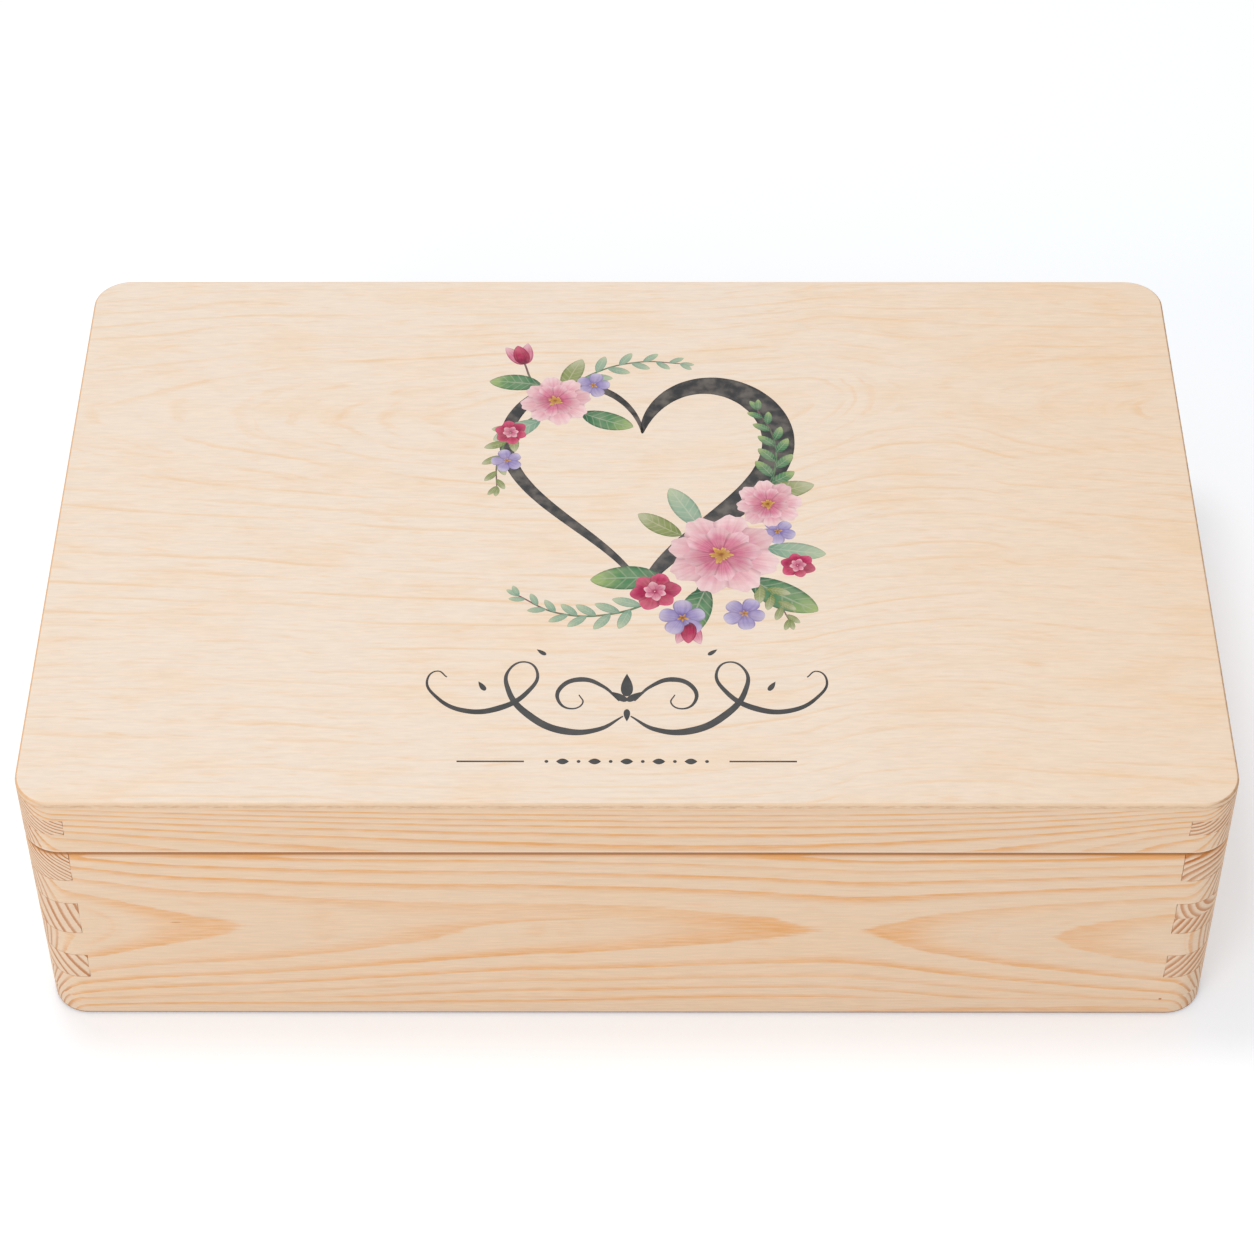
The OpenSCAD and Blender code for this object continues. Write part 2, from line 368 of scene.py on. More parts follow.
def merged_copy(node):
    """A copy of a CAD node's mesh with its loose triangles joined into whole faces"""
    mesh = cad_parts[node].data.copy()
    shape = bmesh.new()
    shape.from_mesh(mesh)
    bmesh.ops.remove_doubles(shape, verts=shape.verts, dist=MERGE_GAP)
    bmesh.ops.dissolve_limit(
        shape, angle_limit=FLAT_ANGLE, verts=shape.verts, edges=shape.edges,
        use_dissolve_boundaries=False,
    )
    shape.to_mesh(mesh)
    shape.free()
    return mesh


def bevel_edges(mesh, width, chosen, slot=0):
    """Eases the chosen edges by one narrow facet, which takes the material in that slot"""
    shape = bmesh.new()
    shape.from_mesh(mesh)
    edges = [edge for edge in shape.edges if chosen(edge)]
    bmesh.ops.bevel(
        shape, geom=edges, offset=width, offset_type="OFFSET", segments=1, profile=0.5,
        affect="EDGES", clamp_overlap=True, material=slot
    )
    shape.to_mesh(mesh)
    shape.free()


def set_up(name, data):
    """Puts an object into the scene"""
    made = bpy.data.objects.new(name, data)
    bpy.context.scene.collection.objects.link(made)
    return made


def plain_mesh(piece):
    """The mesh that comes out of a piece's modifiers"""
    evaluated = piece.evaluated_get(bpy.context.evaluated_depsgraph_get())
    return bpy.data.meshes.new_from_object(evaluated)


def finished(name, mesh, body, node, slot, *materials):
    """Makes the piece that stands for a CAD node: smooth where round, crisp where cut"""
    mesh.materials.clear()
    for material in materials:
        mesh.materials.append(material)
    mesh.shade_smooth()
    mesh.set_sharp_from_angle(angle=SHARP_ANGLE)
    piece = set_up(name, mesh)
    weighted = piece.modifiers.new("weighted", "WEIGHTED_NORMAL")
    weighted.keep_sharp = True
    weighted.weight = 100
    plain = plain_mesh(piece)
    piece.modifiers.clear()
    piece.data = plain
    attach(piece, body)
    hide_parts(node)


def joint_edges(node, runs_along_y, shoulders):
    """Tells the outer edges of the fingers' shoulders, or of their level sides, at the joints"""
    low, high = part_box(node)
    axis = 1 if runs_along_y else 0
    shoulder = high[axis] - BOARD_T * MM
    slack = 0.05 * MM
    square = 0.99

    def on_joint(face):
        spot = face.calc_center_median()
        if shoulders:
            return abs(face.normal[axis]) > square and abs(abs(spot[axis]) - shoulder) < slack
        inside = low[2] + slack < spot.z < high[2] - slack
        return abs(face.normal.z) > square and inside and abs(spot[axis]) > shoulder

    def chosen(edge):
        if len(edge.link_faces) != 2:
            return False
        first, second = (on_joint(face) for face in edge.link_faces)
        return first != second and edge.calc_face_angle(0) > CREASE_ANGLE

    return chosen


joint_line, tree, shader = new_material("joint_line")
dust = rise(stretched_noise(grain_place(tree)[0], (0.7, 0.7, 0.5)), 0.5, 0.75)
surface(shader, blend_colour(dust, JOINT_LINE, EARLY_END), roughness=0.8, sheen=0.5)

END = 190
SIDE_END = 124
BASE_BOARDS = {
    "base_front": dict(
        ring=1.7, edge=87.63, wander=0.09, uneven=0, seed=1, lost_ring=(-100, 10, 51, 12),
        flecks=[(-144.5, -123.5, 47.8, 2.4, 0.4, 0.5)],
        heart=[(-END, -38.7, 46), (-168, -37.2, 46), (-146, -36.3, 45.5), (-125, -35.9, 45.5),
               (-72, -35, 46.5), (-35, -34.9, 46.5), (-9, -34.95, 45.4), (30, -34.55, 45.2),
               (62, -34.15, 44.4), (69, -34.1, 44), (76, -34.15, 43.5), (100, -34.8, 42.2),
               (139, -35.9, 40.4), (END, -37.3, 39)],
    ),
    "base_front_strip": dict(
        ring=1.4, edge=27.1, wander=0.4, seed=2,
        heart=[(-END, -150, -6), (-60, -151, 0), (80, -150.5, 1), (END, -150, -5)],
        flecks=[(175.1, -123.5, 8.2, 0.7, 0.7, 0.9)],
    ),
    "base_back": dict(
        ring=2.4, edge=60.0, seed=3,
        heart=[(-END, 66, 30), (-40, 62, 38), (60, 60, 40), (END, 68, 44)],
    ),
    "base_left": dict(
        ring=1.33, edge=187.8, wander=0.2, uneven=0.5, seed=4,
        heart=[(-SIDE_END, -52.8, 219.8), (0, -54, 222), (SIDE_END, -50, 218)],
    ),
    "base_left_strip": dict(
        ring=2.98, edge=84.5, wander=0.2, uneven=0.4, seed=11,
        heart=[(-SIDE_END, -94, 76), (0, -92, 74), (SIDE_END, -96, 72)],
    ),
    "base_right": dict(
        ring=2.6, edge=30.0, wander=0.3, uneven=0.4, seed=5, late_from=0.2,
        heart=[(-SIDE_END, 190, 58.5), (0, 192, 60), (SIDE_END, 190, 56)],
    ),
    "base_right_strip": dict(
        ring=2.3, edge=80.0, wander=0.3, uneven=0.4, seed=6, late_from=0.2,
        heart=[(-SIDE_END, 104.2, 84.8), (0, 102, 86), (SIDE_END, 106, 84)],
    ),
}
LID_BOARDS = {
    "lid_front": dict(
        ring=1.45, edge=30.76, wander=0.12, uneven=0.25, seed=7,
        heart=[(-END, -97.9, 80), (-170, -97.1, 80), (-136, -95.8, 80), (-102, -94.9, 80),
               (-34, -93.8, 80), (34, -93.5, 80), (68, -93.7, 80), (102, -94.3, 80),
               (136, -95.6, 80), (170, -98.3, 80), (END, -99.9, 80)],
    ),
    "lid_back": dict(
        ring=2.2, edge=64.0, seed=8, heart=[(-END, 80, 150), (0, 84, 148), (END, 80, 152)],
    ),
    "lid_left": dict(
        ring=1.37, edge=17.4, wander=0.15, uneven=0.4, seed=9,
        heart=[(-SIDE_END, -169, 111.7), (0, -168, 112), (SIDE_END, -166, 113)],
    ),
    "lid_right": dict(
        ring=1.7, edge=9.9, wander=0.15, uneven=0.4, seed=10, late_from=0.3,
        heart=[(-SIDE_END, 173.7, 106), (0, 172, 107), (SIDE_END, 170, 109)],
    ),
}

for body, boards in (("base", BASE_BOARDS), ("lid", LID_BOARDS)):
    for node, cut in boards.items():
        runs_along_y = "left" in node or "right" in node
        mesh = merged_copy(node)
        bevel_edges(mesh, SHOULDER_LINE, joint_edges(node, runs_along_y, True), slot=1)
        bevel_edges(mesh, LEVEL_LINE, joint_edges(node, runs_along_y, False), slot=1)
        wood = pine("pine_" + node, body, runs_along_y, **cut)
        finished(node + "_board", mesh, body, node, "pine", wood, joint_line)

# The floor panel of the base, let into a rebate, and the lid's top panel, glued on the frame.
# Both are 3 mm plywood of three veneers: pale faces, whose faint lines run round a long eye, and a
# core that only shows as faint streaks at the edge. Painted light makes the left end paler, and
# painted shade makes the right end darker.
PLY_PALE = srgb(244, 226, 208)
PLY_WARM = srgb(244, 214, 182)
PLY_LINE = srgb(240, 194, 140)
# The next two end colours are painted: end grain darkened as shade for the right end, and a paler
# left end as painted light.
PLY_END_GRAIN_AND_SHADE = srgb(176, 132, 92)
PLY_LIT_LEFT_END = srgb(236, 190, 146)
PLY_CORE = srgb(216, 179, 143)
PLY_EDGE = srgb(238, 207, 176)
VENEER_STEP = (71.0, 43.0, 0.0)
LINE_SPACING = 5.8
CORE_LEVELS = (0.75, 0.9, 2.0, 2.15)
FLOOR_UNDERSIDE = 0
TOP_UNDERSIDE = 103
INK_DEPTH = 0.06 * MM


def ply_streaks(place):
    """The fibre streaks of the face veneer, as a shade near 1"""
    short = stretched_noise(place, (5, 0.8, 3), 3.0)
    long = stretched_noise(place, (16, 1.3, 5), 3.0)
    return times(rise(short, 0.25, 0.75, 0.962, 1.018), rise(long, 0.3, 0.7, 0.98, 1.008))


def plywood(name, underside, heart, seed):
    """Three veneers of 3 mm together, lying on this height in millimetres. The face's lines run
    round a long eye; heart lists (place along the panel, across, depth) of the log's middle."""
    made, tree, shader = new_material(name)
    place, normal = grain_place(tree)
    along, across, height = parted(place)
    endways, _, upward = parted(normal)
    shifted = vector_of("ADD", place, [seed * step for step in VENEER_STEP])

    aside = minus(across, curve_through(along, heart, 1))
    deep = curve_through(along, heart, 2)
    level = vector_of("LENGTH", joined_vector(aside, deep))
    for cells, detail, amount in (
        ((230, 60, 400), 2.0, 16), ((60, 11, 400), 2.0, 4.5), ((16, 2.4, 400), 3.0, 1.0)
    ):
        level = plus(level, swing(stretched_noise(shifted, cells, detail), amount))
    share, luck = yearly(share_of(level, LINE_SPACING), seed)
    clearer = rise(unsigned(aside), 6, 26, 0.5, 1.0)
    line = times(between(share, 0.7, 0.92, 0.92, 1.0), scaled(luck, 0.32, 0.2), clearer)
    patch = rise(stretched_noise(shifted, (50, 8, 400), 3.0), 0.36, 0.6)
    thread = stretched_noise(joined_vector(along, level), (15, 1.5, 1), 3.0)
    thread = rise(thread, 0.53, 0.8, 0.0, 0.42)
    blotch = rise(stretched_noise(shifted, (30, 10, 400), 4.0), 0.42, 0.78, 0.0, 0.5)
    warmer = rise(along, 20, 200, 0.0, 0.5)
    face = blend_colour(plus(blotch, warmer), PLY_PALE, PLY_WARM)
    face = blend_colour(larger_of(times(line, patch), thread), face, PLY_LINE)

    core = between(minus(height, underside), *CORE_LEVELS)
    at_end = rise(unsigned(endways), 0.12, 0.5)
    pores = rise(stretched_noise(shifted, (2.2, 2.2, 0.25)), 0.35, 0.7)
    # Painted light and shade: the right end's end grain is darkened, and the left end, which faces
    # the lamps, is painted paler.
    cut_end = blend_colour(pores, PLY_CORE, PLY_END_GRAIN_AND_SHADE)
    cut_end = blend_colour(fall(endways, -0.3, 0.3, 0.85), cut_end, PLY_LIT_LEFT_END)
    outer = blend_colour(at_end, PLY_EDGE, cut_end)
    inner = blend_colour(at_end, blend_colour(pores, PLY_EDGE, PLY_CORE), PLY_EDGE)
    edge = blend_colour(core, outer, inner)
    level_face = rise(unsigned(upward), 0.86, 0.99)
    colour = blend_colour(times(level_face, fall(at_end, 0.0, 0.5)), edge, face)

    shade = ply_streaks(shifted)
    surface(shader, shaded(colour, shade), rise(shade, 0.96, 1.01, 0.66, 0.56))
    fine_relief(shader, stretched_noise(shifted, (16, 0.5, 3), 3.0), 0.2, 0.02)
    return made


FLOOR_HEART = [(-END, -40, 6), (-70, -44, 24), (40, -38, 14), (END, -46, 34)]
floor_ply = plywood("plywood_floor", FLOOR_UNDERSIDE, FLOOR_HEART, 3.0)
floor_mesh = merged_copy("base_floor")
finished("base_floor_panel", floor_mesh, "base", "base_floor", "plywood", floor_ply)

panel_mesh = merged_copy("lid_panel")
panel_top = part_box("lid_panel")[1][2]
for corner in panel_mesh.vertices:
    corner.co.z = min(corner.co.z, panel_top - INK_DEPTH)
TOP_HEART = [(-END, 52, 36), (-130, 53, 27), (-60, 50, 15), (0, 50, 6), (50, 54, 8),
             (106, 62, 24), (130, 60, 20), (END, 56, 7)]
top_ply = plywood("plywood_top", TOP_UNDERSIDE, TOP_HEART, 1.0)
finished("lid_top_panel", panel_mesh, "lid", "lid_panel", "plywood", top_ply)

# Two butt hinges of folded sheet brass, let into the rims of the base and of the lid at the back.
# Their knuckles turn on brass pins, and the leaves have a lengthwise brushed finish.
LEAF_EASE = 0.08 * MM
SQUARE_EDGE = math.radians(60)


def brass(name, along, tone, roughness):
    """Brass with a finish of fine scratches that run along one axis, and a little tarnish"""
    made, tree, shader = new_material(name)
    place = grain_place(tree)[0]
    scratch = stretched_noise(place, [6 if axis == along else 0.12 for axis in range(3)])
    tarnish = rise(stretched_noise(place, (5, 5, 5), 4.0), 0.4, 0.75)
    dull = tuple(part * 0.62 for part in tone)
    rough = rise(scratch, 0.3, 0.7, roughness - 0.08, roughness + 0.08)
    surface(shader, blend_colour(times(tarnish, 0.5), tone, dull),
            scaled(tarnish, 0.1, rough), sheen=0.5)
    feed(shader.inputs["Metallic"], 1.0)
    fine_relief(shader, scratch, 0.3, 0.01)
    return made


def square_edge(edge):
    return len(edge.link_faces) == 2 and edge.calc_face_angle(0) > SQUARE_EDGE


leaf_brass = brass("brushed_brass", 0, srgb(212, 184, 128), 0.36)
for body, side in (("base", "left"), ("base", "right"), ("lid", "left"), ("lid", "right")):
    node = "hinge_{}_leaf_{}".format(body, side)
    mesh = merged_copy(node)
    bevel_edges(mesh, LEAF_EASE, square_edge)
    finished(node + "_brass", mesh, body, node, "hinge_brass", leaf_brass)
for side in ("left", "right"):
    node = "hinge_pin_" + side
    finished(node + "_brass", merged_copy(node), "base", node, "hinge_brass", leaf_brass)

# Countersunk brass-plated screws with a cross recess, two through each hinge leaf into the wood.
# The base's point down and the lid's point up, each driven flush with its leaf.
SCREW_X = (108, 132)
SCREW_Y = 114.75
SCREW_SIZES = {"Head Radius": 2, "Shank Radius": 1.1, "Head Height": 0.9, "Length": 9,
               "Recess Depth": 1.1, "Recess Width": 0.55}
SCREW_TIP = 0.15
ROUND = 40


def add(tree, kind, values=(), **settings):
    """Adds a geometry node, fed with values by its inputs' names, and gives what comes out"""
    made = tree.nodes.new(kind)
    for name, value in settings.items():
        setattr(made, name, value)
    for name, value in dict(values).items():
        feed(made.inputs[name], value)
    return made.outputs[0]


def geometry_tree(name, sizes, **others):
    """A node tree with a geometry in and out, and one named input for each size"""
    tree = bpy.data.node_groups.new(name, "GeometryNodeTree")
    sides = tree.interface
    sides.new_socket("Geometry", in_out="OUTPUT", socket_type="NodeSocketGeometry")
    inputs = {"Geometry": "Geometry", **dict.fromkeys(sizes, "Float"), **others}
    for label, kind in inputs.items():
        sides.new_socket(label, in_out="INPUT", socket_type="NodeSocket" + kind)
    into, out_of = tree.nodes.new("NodeGroupInput"), tree.nodes.new("NodeGroupOutput")
    return tree, into.outputs, out_of.inputs[0]


def joined(*parts):
    made = new_node("GeometryNodeJoinGeometry", *parts)
    for part in reversed(parts):
        feed(made.inputs[0], part)
    return made.outputs[0]


def moved(shape, offset=(0, 0, 0), turn=(0, 0, 0)):
    values = {"Geometry": shape, "Translation": offset, "Rotation": turn}
    return add(shape.id_data, "GeometryNodeTransform", values)


def below(depth):
    """A shift straight down by this depth"""
    return joined_vector(z=times(depth, -1.0))


def real(shape):
    """Copies that stand on points, made into geometry of their own"""
    return add(shape.id_data, "GeometryNodeRealizeInstances", {"Geometry": shape})


def hand_out(shape, material, result):
    """Coats the shape in its material and gives it out of the tree"""
    values = {"Geometry": real(shape), "Material": material}
    feed(result, add(shape.id_data, "GeometryNodeSetMaterial", values))


def grown(name, source, tree, sizes):
    """Runs a tree on a mesh or curve and gives the plain mesh object that comes out"""
    maker = set_up(name, source)
    nodes = maker.modifiers.new(tree.name, "NODES")
    nodes.node_group = tree
    inputs = [item for item in tree.interface.items_tree if item.in_out == "INPUT"]
    sockets = {item.name: item.identifier for item in inputs}
    for label, value in sizes.items():
        nodes[sockets[label]] = value
    mesh = plain_mesh(maker)
    mesh.name = name
    bpy.data.objects.remove(maker)
    return set_up(name, mesh)


screw_tree, given, result = geometry_tree(
    "driven_screws", SCREW_SIZES, Turn="Vector", Finish="Material"
)
tree = screw_tree
point_length = times(given["Shank Radius"], 2.0)
shank_length = minus(given["Length"], point_length)
head = add(tree, "GeometryNodeMeshCone", {
    "Vertices": ROUND, "Radius Top": given["Head Radius"],
    "Radius Bottom": given["Shank Radius"], "Depth": given["Head Height"],
})
shank = add(tree, "GeometryNodeMeshCylinder", {
    "Vertices": ROUND, "Radius": given["Shank Radius"], "Depth": shank_length,
})
point = add(tree, "GeometryNodeMeshCone", {
    "Vertices": ROUND, "Radius Top": given["Shank Radius"], "Radius Bottom": SCREW_TIP * MM,
    "Depth": point_length,
})
slot_size = joined_vector(given["Head Radius"], given["Recess Width"], given["Recess Depth"])
arm = add(tree, "GeometryNodeMeshCube", {"Size": slot_size})
head = moved(head, below(given["Head Height"]))
cut_head = add(tree, "GeometryNodeMeshBoolean", {"Mesh 1": head}, solver="EXACT")
for turned in (arm, moved(arm, turn=(0, 0, math.radians(90)))):
    feed(cut_head.node.inputs["Mesh 2"], turned)
shank_middle = plus(given["Head Height"], times(shank_length, 0.5))
whole_length = plus(given["Head Height"], given["Length"])
one_screw = joined(cut_head, moved(shank, below(shank_middle)), moved(point, below(whole_length)))
placed = add(tree, "GeometryNodeInstanceOnPoints", {
    "Points": given["Geometry"], "Instance": one_screw, "Rotation": given["Turn"],
})
hand_out(placed, given["Finish"], result)

screw_brass = brass("screw_plating", 2, srgb(226, 202, 156), 0.26)
for body, leaf_face, turn in (("base", 81.9, (0, 0, 0.4)), ("lid", 82.4, (math.pi, 0, 0.9))):
    spots = bpy.data.meshes.new(body + "_screw_places")
    spots.from_pydata([
        (side * x * MM, SCREW_Y * MM, leaf_face * MM) for side in (-1, 1) for x in SCREW_X
    ], [], [])
    screws = grown(body + "_hinge_screws", spots, screw_tree, {
        **{label: size * MM for label, size in SCREW_SIZES.items()},
        "Turn": turn, "Finish": screw_brass,
    })
    screws.data.shade_smooth()
    screws.data.set_sharp_from_angle(angle=SHARP_ANGLE)
    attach(screws, body)
    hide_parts(*("hinge_{}_screws_{}".format(body, side) for side in ("left", "right")))

# The lid's decoration, printed in ink straight on the sanded top: a charcoal heart, sprays of
# leaves and watercolour flowers, and a pen flourish below. The films of ink lie on one another.
TOP = panel_top / MM - INK_DEPTH / MM
FILM = 0.004
COAT = 0.8 * FILM
LEAN = 0.001
FILM_MERGE_GAP = 0.0005 * MM


def film(flat):
    """Gives a flat shape the thickness of a coat of ink, closed all round"""
    tree = flat.id_data
    raised = add(tree, "GeometryNodeExtrudeMesh", {
        "Mesh": flat, "Offset": (0, 0, 1), "Offset Scale": FILM * MM, "Individual": False,
    })
    whole = joined(raised, add(tree, "GeometryNodeFlipFaces", {"Mesh": flat}))
    return add(tree, "GeometryNodeMergeByDistance", {"Geometry": whole, "Distance": FILM_MERGE_GAP})


def kept(geometry, name, value, kind="FLOAT", domain="POINT"):
    """Stores a value on the geometry for the ink to read"""
    tree, values = geometry.id_data, {"Geometry": geometry, "Name": name, "Value": value}
    return add(tree, "GeometryNodeStoreNamedAttribute", values, data_type=kind, domain=domain)


def read_back(tree, name, kind="FLOAT"):
    return add(tree, "GeometryNodeInputNamedAttribute", {"Name": name}, data_type=kind)


def chance(low, high, seed):
    """An even random number for each point or petal"""
    made = new_node("FunctionNodeRandomValue", low, high, seed)
    for socket, value in ((2, low), (3, high), ("Seed", seed)):
        feed(made.inputs[socket], value)
    return made.outputs[1]


petal_tree, given, result = geometry_tree("petals", (
    "Spread", "Root", "Length", "Width", "Root Fullness", "Tip Fullness", "Tip Round",
    "Tip Notch", "Bend", "Variety",
), Petals="Int", Seed="Int", Ink="Material")
tree = petal_tree
grid = add(tree, "GeometryNodeMeshGrid", {
    "Size X": 1.0, "Size Y": 2.0, "Vertices X": 19, "Vertices Y": 13,
})
x, y, _ = parted(add(tree, "GeometryNodeInputPosition"))
u = scaled(sum_of("COSINE", scaled(x, math.pi, math.pi / 2)), -0.5, 0.5)
grid = kept(grid, "petal", joined_vector(u, y), "FLOAT_VECTOR")
u, v, _ = parted(read_back(tree, "petal", "FLOAT_VECTOR"))
root_side = sum_of("POWER", u, given["Root Fullness"])
tip_side = sum_of("POWER", minus(1.0, u), given["Tip Fullness"])
both = plus(given["Root Fullness"], given["Tip Fullness"])
widest = share_of(given["Root Fullness"], both)
peak = times(
    sum_of("POWER", widest, given["Root Fullness"]),
    sum_of("POWER", minus(1.0001, widest), given["Tip Fullness"]),
)
breadth = share_of(times(root_side, tip_side), peak)
breadth = larger_of(times(breadth, 0.5), 0.02)
dropped = times(sum_of("POWER", unsigned(v), 2.4), given["Tip Round"])
notched = times(sum_of("COSINE", times(v, 2.6 * math.pi)), given["Tip Notch"])
reach = minus(1.0, plus(dropped, notched))
out = scaled(times(u, reach), given["Length"], given["Root"])
side = scaled(times(u, u), given["Bend"], times(v, breadth, given["Width"]))
place = joined_vector(out, side)
petal = add(tree, "GeometryNodeSetPosition", {"Geometry": grid, "Position": place})
count = given["Petals"]
steps = larger_of(minus(count, 1.0), 1.0)
turn_share = minus(share_of(add(tree, "GeometryNodeInputIndex"), steps), 0.5)
less, seed = times(given["Variety"], -1.0), given["Seed"]
shaken = times(chance(less, given["Variety"], seed), 0.6)
angle = plus(times(turn_share, given["Spread"]), shaken)
larger = plus(1.0, chance(less, given["Variety"], plus(seed, 7.0)))
roots = add(tree, "GeometryNodePoints", {"Count": count, "Position": (0, 0, 0)})
fan = add(tree, "GeometryNodeInstanceOnPoints", {
    "Points": roots, "Instance": petal, "Rotation": joined_vector(z=angle), "Scale": larger,
})
tone = chance(0.0, 1.0, plus(seed, 3.0))
fan = real(kept(fan, "tone", tone, domain="INSTANCE"))
bunch = real(add(tree, "GeometryNodeInstanceOnPoints", {
    "Points": given["Geometry"], "Instance": fan,
    "Rotation": joined_vector(z=read_back(tree, "turn")), "Scale": read_back(tree, "size"),
}))
aside = parted(read_back(tree, "petal", "FLOAT_VECTOR"))[1]
lift = joined_vector(z=scaled(aside, LEAN * MM, read_back(tree, "lift")))
bunch = add(tree, "GeometryNodeSetPosition", {"Geometry": bunch, "Offset": lift})
hand_out(film(bunch), given["Ink"], result)

stroke_tree, given, result = geometry_tree("pen_strokes", ("Step",), Ink="Material")
tree = stroke_tree
path = add(tree, "GeometryNodeResampleCurve", {
    "Curve": given["Geometry"], "Length": given["Step"],
}, mode="LENGTH")
path = add(tree, "GeometryNodeSetCurveNormal", {"Curve": path}, mode="Z_UP")
path = kept(path, "along", add(tree, "GeometryNodeSplineParameter"))
lift = joined_vector(z=times(read_back(tree, "along"), 2 * LEAN * MM))
path = add(tree, "GeometryNodeSetPosition", {"Geometry": path, "Offset": lift})
nib = add(tree, "GeometryNodeCurvePrimitiveLine", {"Start": (-1, 0, 0), "End": (1, 0, 0)})
nib = add(tree, "GeometryNodeResampleCurve", {"Curve": nib, "Count": 7})
nib = kept(nib, "across", parted(add(tree, "GeometryNodeInputPosition"))[0])
ribbon = add(tree, "GeometryNodeCurveToMesh", {
    "Curve": path, "Profile Curve": nib, "Scale": add(tree, "GeometryNodeInputRadius"),
})
place = joined_vector(read_back(tree, "along"), read_back(tree, "across"))
ribbon = kept(ribbon, "petal", place, "FLOAT_VECTOR")
hand_out(film(ribbon), given["Ink"], result)


def carried(tree, name):
    """What the print carries under this name"""
    made = tree.nodes.new("ShaderNodeAttribute")
    made.attribute_name = name
    return made.outputs


def watercolour(name, root, middle, tip, veins=0.0, wash=0.3, pooling=0.35, streaks=0.0):
    """Printed watercolour: colours run from root to tip of a petal, pool at its edge and mottle"""
    root, middle, tip = (srgb(*colour) for colour in (root, middle, tip))
    made, tree, shader = new_material(name)
    place = grain_place(tree)[0]
    u, v, _ = parted(carried(tree, "petal")["Vector"])
    tone = carried(tree, "tone")["Fac"]
    wet = stretched_noise(place, (3.2, 3.2, 50), 4.0)
    where = plus(u, swing(wet, 0.35))
    colour = blend_colour(rise(where, 0.02, 0.42), root, middle)
    colour = blend_colour(rise(where, 0.5, 1.0), colour, tip)
    pale = tuple(0.55 * part + 0.45 * light for part, light in zip(middle, PLY_PALE))
    deep = tuple(part * 0.5 for part in root)
    mottle = rise(stretched_noise(place, (5, 5, 50), 5.0), 0.36, 0.68)
    colour = blend_colour(times(mottle, wash), colour, pale)
    colour = blend_colour(times(tone, 0.22), colour, deep)
    rim = unsigned(v)
    colour = blend_colour(rise(rim, 0.72, 1.0, 0.0, pooling), colour, deep)
    if streaks:
        rays = joined_vector(times(u, 0.8), times(v, 5.0), tone)
        ray = rise(stretched_noise(rays, (1, 1, 0.1), 3.0), 0.42, 0.66, 0.0, streaks)
        colour = blend_colour(times(ray, rise(u, 0.0, 0.9, 1.0, 0.25)), colour, deep)
    if veins:
        slant = minus(u, times(rim, 0.16))
        rib = unsigned(minus(sum_of("FRACT", times(slant, 7.0)), 0.5))
        vein = larger_of(fall(rib, 0.05, 0.13, 0.6), fall(rim, 0.03, 0.09))
        colour = blend_colour(times(vein, veins), colour, pale)
    shade = ply_streaks(vector_of("ADD", place, VENEER_STEP))
    surface(shader, shaded(colour, shade), rise(wet, 0.3, 0.7, 0.62, 0.5))
    return made


def printed(piece):
    """The print is part of the lid and moves with it"""
    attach(piece, "lid")


def flowers(name, ink, places, **sizes):
    """Fans of petals; places lists (x, y, size, turn in degrees, coat) of each"""
    mesh = bpy.data.meshes.new(name + "_places")
    mesh.from_pydata([(x * MM, y * MM, TOP * MM) for x, y, *_ in places], [], [])
    for label, values in (
        ("size", [place[2] for place in places]),
        ("turn", [math.radians(place[3]) for place in places]),
        ("lift", [place[4] * COAT * MM for place in places]),
    ):
        mesh.attributes.new(label, "FLOAT", "POINT").data.foreach_set("value", values)
    full = dict(petals=1, spread=0.0, root=0.0, root_fullness=0.7, tip_fullness=0.7,
                tip_round=0.0, tip_notch=0.0, bend=0.0, variety=0.05, seed=1)
    full.update(sizes)
    for label in ("root", "length", "width", "bend"):
        full[label] *= MM
    full["spread"] = math.radians(full["spread"])
    named = {label.replace("_", " ").title(): value for label, value in full.items()}
    printed(grown(name, mesh, petal_tree, {**named, "Ink": ink}))


def strokes(name, ink, lines, coat, step=0.5):
    """Pen strokes; each line lists (x, y, half width) in millimetres, with a smooth path between"""
    curve = bpy.data.curves.new(name + "_path", "CURVE")
    curve.dimensions = "3D"
    curve.resolution_u = 16
    for line in lines:
        spline = curve.splines.new("BEZIER")
        spline.bezier_points.add(len(line) - 1)
        for spot, (x, y, half) in zip(spline.bezier_points, line):
            spot.co = (x * MM, y * MM, (TOP + coat * COAT) * MM)
            spot.radius = half * MM
            spot.handle_left_type = spot.handle_right_type = "AUTO"
    printed(grown(name, curve, stroke_tree, {"Step": step * MM, "Ink": ink}))


charcoal = watercolour("charcoal_wash", (50, 50, 52), (58, 58, 60), (66, 66, 68), pooling=0.2)
pen_ink = watercolour("pen_ink", (74, 74, 75), (74, 74, 75), (62, 62, 63), wash=0.06, pooling=0.25)
stem_ink = watercolour("stem_ink", (110, 130, 96), (92, 122, 88), (128, 84, 92), wash=0.2)
leaf_ink = watercolour(
    "leaf_green", (38, 92, 66), (92, 142, 98), (176, 196, 122), veins=0.6, pooling=0.5)
sage_ink = watercolour(
    "leaf_sage", (122, 160, 138), (160, 186, 160), (196, 208, 172), veins=0.5, pooling=0.4)
olive_ink = watercolour(
    "leaf_olive", (112, 132, 62), (150, 160, 104), (202, 204, 170), veins=0.6, pooling=0.45)
rose_ink = watercolour(
    "petal_rose", (176, 44, 92), (224, 132, 158), (246, 204, 210), wash=0.4, streaks=0.5)
blush_ink = watercolour(
    "petal_blush", (206, 84, 122), (238, 172, 186), (250, 220, 220), wash=0.45, streaks=0.4)
wine_ink = watercolour("petal_wine", (120, 16, 58), (190, 36, 88), (224, 92, 130), streaks=0.6)
